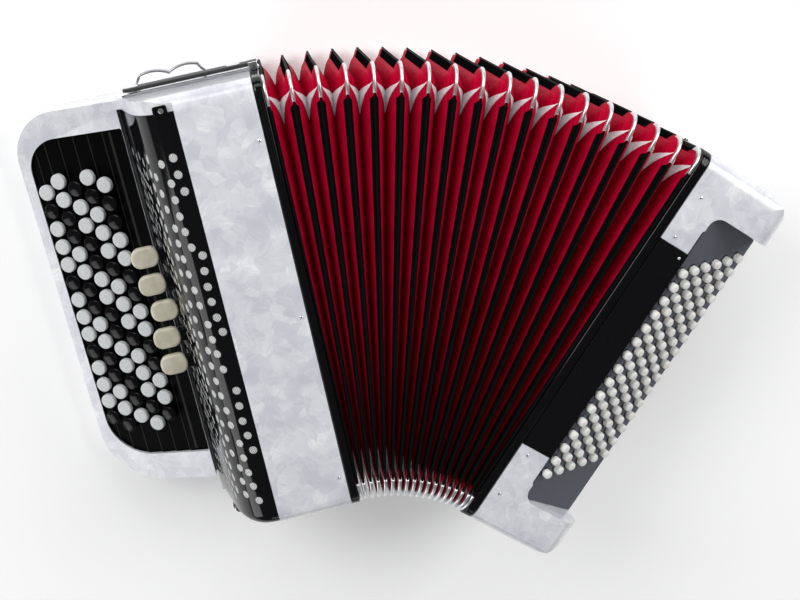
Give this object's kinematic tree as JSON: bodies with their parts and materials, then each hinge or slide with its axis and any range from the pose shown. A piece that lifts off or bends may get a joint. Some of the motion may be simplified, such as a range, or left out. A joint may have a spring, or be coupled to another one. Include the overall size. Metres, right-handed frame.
{
  "type": "accordion",
  "caption": "Chromatic button accordion: treble casework with fingerboard and grille, fanned pleated bellows, bass casework with sloping button board.",
  "frame": {"origin": "centre of the bounding box on the plane of the instrument's back, at rest with the bellows fanned", "axes": "+Z towards the front that faces the listener, +Y towards the top, +X from the treble side to the bass side"},
  "size_m": [0.6644, 0.509, 0.1676],
  "materials": {
    "pearloid": "marbled mother-of-pearl celluloid",
    "black_gloss": "polished black",
    "board_grey": "satin dark grey",
    "ivory": "warm ivory",
    "button_white": "white button caps, some of them black",
    "bellows_red": "red satin cloth over card, black tape on the crests",
    "chrome": "polished",
    "leather_black": "grained",
    "reed_wood": "oiled spruce",
    "grille_mesh": "silver gauze"
  },
  "bodies": {
    "treble_side": {"treble_casework": "pearloid", "treble_grille": "black_gloss", "grille_cloth": "grille_mesh", "fingerboard_plate": "black_gloss", "treble_bellows_frame": "black_gloss", "treble_soundboard": "reed_wood", "treble_reed_block_1": "reed_wood", "treble_reed_block_2": "reed_wood", "treble_key_axle": "chrome", "grille_latch": "chrome", "shoulder_bracket_top": "chrome", "shoulder_bracket_bottom": "chrome", "strap_bracket_top": "chrome", "strap_bracket_bottom": "chrome"},
    "bass_side": {"bass_bellows_frame": "black_gloss", "bass_casework": "pearloid", "bass_front_panel": "black_gloss", "bass_button_board": "board_grey", "bass_soundboard": "reed_wood", "bass_reed_block": "reed_wood", "hand_strap": "leather_black", "bass_strap_stud_top": "chrome", "bass_strap_stud_bottom": "chrome"},
    "fold_01": {"fold_01": "bellows_red"},
    "fold_02": {"fold_02": "bellows_red"},
    "fold_03": {"fold_03": "bellows_red"},
    "fold_04": {"fold_04": "bellows_red"},
    "fold_05": {"fold_05": "bellows_red"},
    "fold_06": {"fold_06": "bellows_red"},
    "fold_07": {"fold_07": "bellows_red"},
    "fold_08": {"fold_08": "bellows_red"},
    "fold_09": {"fold_09": "bellows_red"},
    "fold_10": {"fold_10": "bellows_red"},
    "fold_11": {"fold_11": "bellows_red"},
    "fold_12": {"fold_12": "bellows_red"},
    "fold_13": {"fold_13": "bellows_red"},
    "fold_14": {"fold_14": "bellows_red"},
    "fold_15": {"fold_15": "bellows_red"},
    "fold_16": {"fold_16": "bellows_red"},
    "treble_row_1": {"treble_button_row_1": "button_white"},
    "treble_row_2": {"treble_button_row_2": "button_white"},
    "treble_row_3": {"treble_button_row_3": "button_white"},
    "treble_row_4": {"treble_button_row_4": "button_white"},
    "treble_row_5": {"treble_button_row_5": "button_white"},
    "register_1": {"register_switch_1": "ivory"},
    "register_2": {"register_switch_2": "ivory"},
    "register_3": {"register_switch_3": "ivory"},
    "register_4": {"register_switch_4": "ivory"},
    "register_5": {"register_switch_5": "ivory"},
    "strap_top": {"bellows_strap_top": "leather_black"},
    "strap_bottom": {"bellows_strap_bottom": "leather_black"},
    "bass_row_1": {"bass_button_row_1": "ivory"},
    "bass_row_2": {"bass_button_row_2": "ivory"},
    "bass_row_3": {"bass_button_row_3": "ivory"},
    "bass_row_4": {"bass_button_row_4": "ivory"},
    "bass_row_5": {"bass_button_row_5": "ivory"},
    "bass_row_6": {"bass_button_row_6": "ivory"},
    "air_valve": {"air_button": "ivory"},
    "strap_adjuster": {"hand_strap_wheel": "chrome"}
  },
  "joints": [
    {"name": "bellows_fan", "type": "hinge", "parent": "treble_side", "child": "bass_side", "pos_m": [-0.04684, -0.16554, 0.083], "axis": [0, 0, 1], "range_deg": [-12, 43.5]},
    {"name": "fold_01_turn", "type": "hinge", "parent": "treble_side", "child": "fold_01", "pos_m": [-0.09328, -0.15933, 0.083], "axis": [0, 0, 1], "range_deg": [-0.75, 2.6]},
    {"name": "fold_02_turn", "type": "hinge", "parent": "fold_01", "child": "fold_02", "pos_m": [-0.08748, -0.15959, 0.083], "axis": [0, 0, 1], "range_deg": [-0.75, 2.6]},
    {"name": "fold_03_turn", "type": "hinge", "parent": "fold_02", "child": "fold_03", "pos_m": [-0.0817, -0.1601, 0.083], "axis": [0, 0, 1], "range_deg": [-0.75, 2.6]},
    {"name": "fold_04_turn", "type": "hinge", "parent": "fold_03", "child": "fold_04", "pos_m": [-0.07595, -0.16088, 0.083], "axis": [0, 0, 1], "range_deg": [-0.75, 2.6]},
    {"name": "fold_05_turn", "type": "hinge", "parent": "fold_04", "child": "fold_05", "pos_m": [-0.07024, -0.16191, 0.083], "axis": [0, 0, 1], "range_deg": [-0.75, 2.6]},
    {"name": "fold_06_turn", "type": "hinge", "parent": "fold_05", "child": "fold_06", "pos_m": [-0.06458, -0.1632, 0.083], "axis": [0, 0, 1], "range_deg": [-0.75, 2.6]},
    {"name": "fold_07_turn", "type": "hinge", "parent": "fold_06", "child": "fold_07", "pos_m": [-0.05898, -0.16473, 0.083], "axis": [0, 0, 1], "range_deg": [-0.75, 2.6]},
    {"name": "fold_08_turn", "type": "hinge", "parent": "fold_07", "child": "fold_08", "pos_m": [-0.05346, -0.16652, 0.083], "axis": [0, 0, 1], "range_deg": [-0.75, 2.6]},
    {"name": "fold_09_turn", "type": "hinge", "parent": "fold_08", "child": "fold_09", "pos_m": [-0.04802, -0.16855, 0.083], "axis": [0, 0, 1], "range_deg": [-0.75, 2.6]},
    {"name": "fold_10_turn", "type": "hinge", "parent": "fold_09", "child": "fold_10", "pos_m": [-0.04268, -0.17082, 0.083], "axis": [0, 0, 1], "range_deg": [-0.75, 2.6]},
    {"name": "fold_11_turn", "type": "hinge", "parent": "fold_10", "child": "fold_11", "pos_m": [-0.03745, -0.17332, 0.083], "axis": [0, 0, 1], "range_deg": [-0.75, 2.6]},
    {"name": "fold_12_turn", "type": "hinge", "parent": "fold_11", "child": "fold_12", "pos_m": [-0.03233, -0.17606, 0.083], "axis": [0, 0, 1], "range_deg": [-0.75, 2.6]},
    {"name": "fold_13_turn", "type": "hinge", "parent": "fold_12", "child": "fold_13", "pos_m": [-0.02734, -0.17902, 0.083], "axis": [0, 0, 1], "range_deg": [-0.75, 2.6]},
    {"name": "fold_14_turn", "type": "hinge", "parent": "fold_13", "child": "fold_14", "pos_m": [-0.02249, -0.18221, 0.083], "axis": [0, 0, 1], "range_deg": [-0.75, 2.6]},
    {"name": "fold_15_turn", "type": "hinge", "parent": "fold_14", "child": "fold_15", "pos_m": [-0.01778, -0.18561, 0.083], "axis": [0, 0, 1], "range_deg": [-0.75, 2.6]},
    {"name": "fold_16_turn", "type": "hinge", "parent": "fold_15", "child": "fold_16", "pos_m": [-0.01323, -0.18921, 0.083], "axis": [0, 0, 1], "range_deg": [-0.75, 2.6]},
    {"name": "treble_row_1_press", "type": "slide", "parent": "treble_side", "child": "treble_row_1", "axis": [-0.4117, 0, 0.9113], "range_m": [-0.0035, 0], "stiffness_N_per_m": 400, "springref_m": 0.006},
    {"name": "treble_row_2_press", "type": "slide", "parent": "treble_side", "child": "treble_row_2", "axis": [-0.4117, 0, 0.9113], "range_m": [-0.0035, 0], "stiffness_N_per_m": 400, "springref_m": 0.006},
    {"name": "treble_row_3_press", "type": "slide", "parent": "treble_side", "child": "treble_row_3", "axis": [-0.4117, 0, 0.9113], "range_m": [-0.0035, 0], "stiffness_N_per_m": 400, "springref_m": 0.006},
    {"name": "treble_row_4_press", "type": "slide", "parent": "treble_side", "child": "treble_row_4", "axis": [-0.4117, 0, 0.9113], "range_m": [-0.0035, 0], "stiffness_N_per_m": 400, "springref_m": 0.006},
    {"name": "treble_row_5_press", "type": "slide", "parent": "treble_side", "child": "treble_row_5", "axis": [-0.4117, 0, 0.9113], "range_m": [-0.0035, 0], "stiffness_N_per_m": 400, "springref_m": 0.006},
    {"name": "register_1_slide", "type": "slide", "parent": "treble_side", "child": "register_1", "axis": [1, 0, 0], "range_m": [0, 0.0045]},
    {"name": "register_2_slide", "type": "slide", "parent": "treble_side", "child": "register_2", "axis": [1, 0, 0], "range_m": [0, 0.0045]},
    {"name": "register_3_slide", "type": "slide", "parent": "treble_side", "child": "register_3", "axis": [1, 0, 0], "range_m": [-0.0045, 0]},
    {"name": "register_4_slide", "type": "slide", "parent": "treble_side", "child": "register_4", "axis": [1, 0, 0], "range_m": [0, 0.0045]},
    {"name": "register_5_slide", "type": "slide", "parent": "treble_side", "child": "register_5", "axis": [1, 0, 0], "range_m": [0, 0.0045]},
    {"name": "strap_top_swing", "type": "hinge", "parent": "treble_side", "child": "strap_top", "pos_m": [-0.10018, 0.24594, 0.095], "axis": [0, 0, -1], "range_deg": [0, 180]},
    {"name": "strap_bottom_swing", "type": "hinge", "parent": "treble_side", "child": "strap_bottom", "pos_m": [-0.10018, -0.16446, 0.095], "axis": [0, 0, 1], "range_deg": [0, 120]},
    {"name": "bass_row_1_press", "type": "slide", "parent": "bass_side", "child": "bass_row_1", "axis": [0.3627, -0.3442, 0.866], "range_m": [-0.003, 0], "stiffness_N_per_m": 400, "springref_m": 0.005},
    {"name": "bass_row_2_press", "type": "slide", "parent": "bass_side", "child": "bass_row_2", "axis": [0.3627, -0.3442, 0.866], "range_m": [-0.003, 0], "stiffness_N_per_m": 400, "springref_m": 0.005},
    {"name": "bass_row_3_press", "type": "slide", "parent": "bass_side", "child": "bass_row_3", "axis": [0.3627, -0.3442, 0.866], "range_m": [-0.003, 0], "stiffness_N_per_m": 400, "springref_m": 0.005},
    {"name": "bass_row_4_press", "type": "slide", "parent": "bass_side", "child": "bass_row_4", "axis": [0.3627, -0.3442, 0.866], "range_m": [-0.003, 0], "stiffness_N_per_m": 400, "springref_m": 0.005},
    {"name": "bass_row_5_press", "type": "slide", "parent": "bass_side", "child": "bass_row_5", "axis": [0.3627, -0.3442, 0.866], "range_m": [-0.003, 0], "stiffness_N_per_m": 400, "springref_m": 0.005},
    {"name": "bass_row_6_press", "type": "slide", "parent": "bass_side", "child": "bass_row_6", "axis": [0.3627, -0.3442, 0.866], "range_m": [-0.003, 0], "stiffness_N_per_m": 400, "springref_m": 0.005},
    {"name": "air_button_press", "type": "slide", "parent": "bass_side", "child": "air_valve", "axis": [0.7254, -0.6884, 0], "range_m": [-0.004, 0], "stiffness_N_per_m": 300, "springref_m": 0.006},
    {"name": "strap_wheel_turn", "type": "hinge", "parent": "bass_side", "child": "strap_adjuster", "pos_m": [0.31568, 0.05468, 0.034], "axis": [0.6884, 0.7254, 0], "continuous": true}
  ],
  "couplings": [
    {"joint": "fold_01_turn", "follows": "bellows_fan", "ratio": 0.058824},
    {"joint": "fold_02_turn", "follows": "bellows_fan", "ratio": 0.058824},
    {"joint": "fold_03_turn", "follows": "bellows_fan", "ratio": 0.058824},
    {"joint": "fold_04_turn", "follows": "bellows_fan", "ratio": 0.058824},
    {"joint": "fold_05_turn", "follows": "bellows_fan", "ratio": 0.058824},
    {"joint": "fold_06_turn", "follows": "bellows_fan", "ratio": 0.058824},
    {"joint": "fold_07_turn", "follows": "bellows_fan", "ratio": 0.058824},
    {"joint": "fold_08_turn", "follows": "bellows_fan", "ratio": 0.058824},
    {"joint": "fold_09_turn", "follows": "bellows_fan", "ratio": 0.058824},
    {"joint": "fold_10_turn", "follows": "bellows_fan", "ratio": 0.058824},
    {"joint": "fold_11_turn", "follows": "bellows_fan", "ratio": 0.058824},
    {"joint": "fold_12_turn", "follows": "bellows_fan", "ratio": 0.058824},
    {"joint": "fold_13_turn", "follows": "bellows_fan", "ratio": 0.058824},
    {"joint": "fold_14_turn", "follows": "bellows_fan", "ratio": 0.058824},
    {"joint": "fold_15_turn", "follows": "bellows_fan", "ratio": 0.058824},
    {"joint": "fold_16_turn", "follows": "bellows_fan", "ratio": 0.058824}
  ]
}
